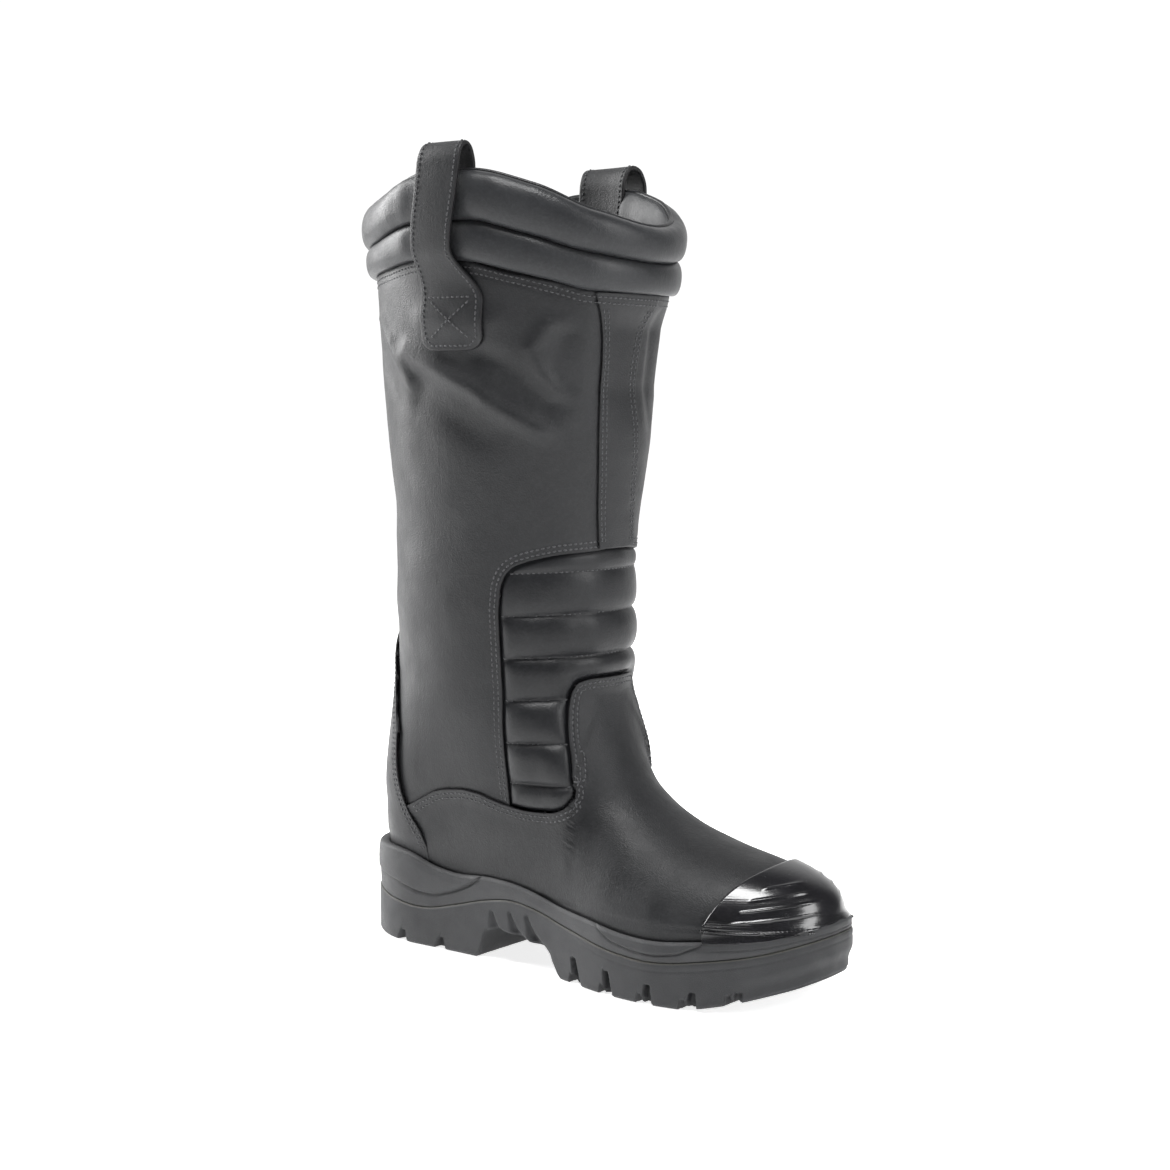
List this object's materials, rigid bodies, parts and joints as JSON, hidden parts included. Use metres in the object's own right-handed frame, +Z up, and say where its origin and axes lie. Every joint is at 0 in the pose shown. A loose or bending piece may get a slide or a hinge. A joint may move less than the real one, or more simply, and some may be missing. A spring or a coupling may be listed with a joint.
{
  "type": "fire boot",
  "caption": "Tall pull-on leather fire boot for the right foot, with a padded collar, a quilted ankle, pull loops, a steel toe under a glossy scuff cap and a lugged sole.",
  "frame": {"origin": "on the ground, under the middle of the bounding box", "axes": "+X to the toe, +Y to the inner side of the foot, +Z up"},
  "size_m": [0.3142, 0.1741, 0.462],
  "materials": {
    "tread_rubber": "matte, fine moulded texture",
    "midsole_foam": "matte, fine moulded texture",
    "gloss_bumper": "high gloss",
    "steel": "plain",
    "foam": "matte",
    "fibre_board": "matte",
    "footbed_felt": "felt",
    "stiffener": "matte",
    "boot_leather": "smooth oiled, satin",
    "soft_leather": "soft, satin",
    "facing_leather": "soft, satin",
    "strap_leather": "smooth, satin",
    "lining": "knitted"
  },
  "bodies": {
    "foot": {"outsole": "tread_rubber", "midsole": "midsole_foam", "toe_bumper": "gloss_bumper", "puncture_plate": "steel", "steel_shank": "steel", "heel_pad": "foam", "insole_board": "fibre_board", "toe_cap": "steel", "toe_cap_strip": "foam", "vamp": "boot_leather", "backstay": "boot_leather", "heel_counter": "stiffener", "foot_lining": "lining", "flex_panel": "soft_leather", "flex_panel_foam": "foam"},
    "shaft": {"quarter_lateral": "boot_leather", "quarter_medial": "boot_leather", "front_strip": "boot_leather", "shaft_lining": "lining", "collar_upper": "soft_leather", "collar_lower": "soft_leather", "collar_foam_upper": "foam", "collar_foam_lower": "foam", "collar_facing": "facing_leather", "pull_strap_lateral": "strap_leather", "pull_strap_medial": "strap_leather"},
    "footbed": {"footbed": "footbed_felt"}
  },
  "joints": [
    {"name": "ankle_flex", "type": "hinge", "parent": "foot", "child": "shaft", "pos_m": [-0.082, 0, 0.098], "axis": [0, 1, 0], "range_deg": [0, 12], "stiffness_Nm_per_rad": 15, "springref_deg": -1.72, "deforming": ["flex_panel", "flex_panel_foam"]},
    {"name": "footbed_lift", "type": "slide", "parent": "foot", "child": "footbed", "axis": [0, 0, 1], "range_m": [0, 0.008]}
  ]
}
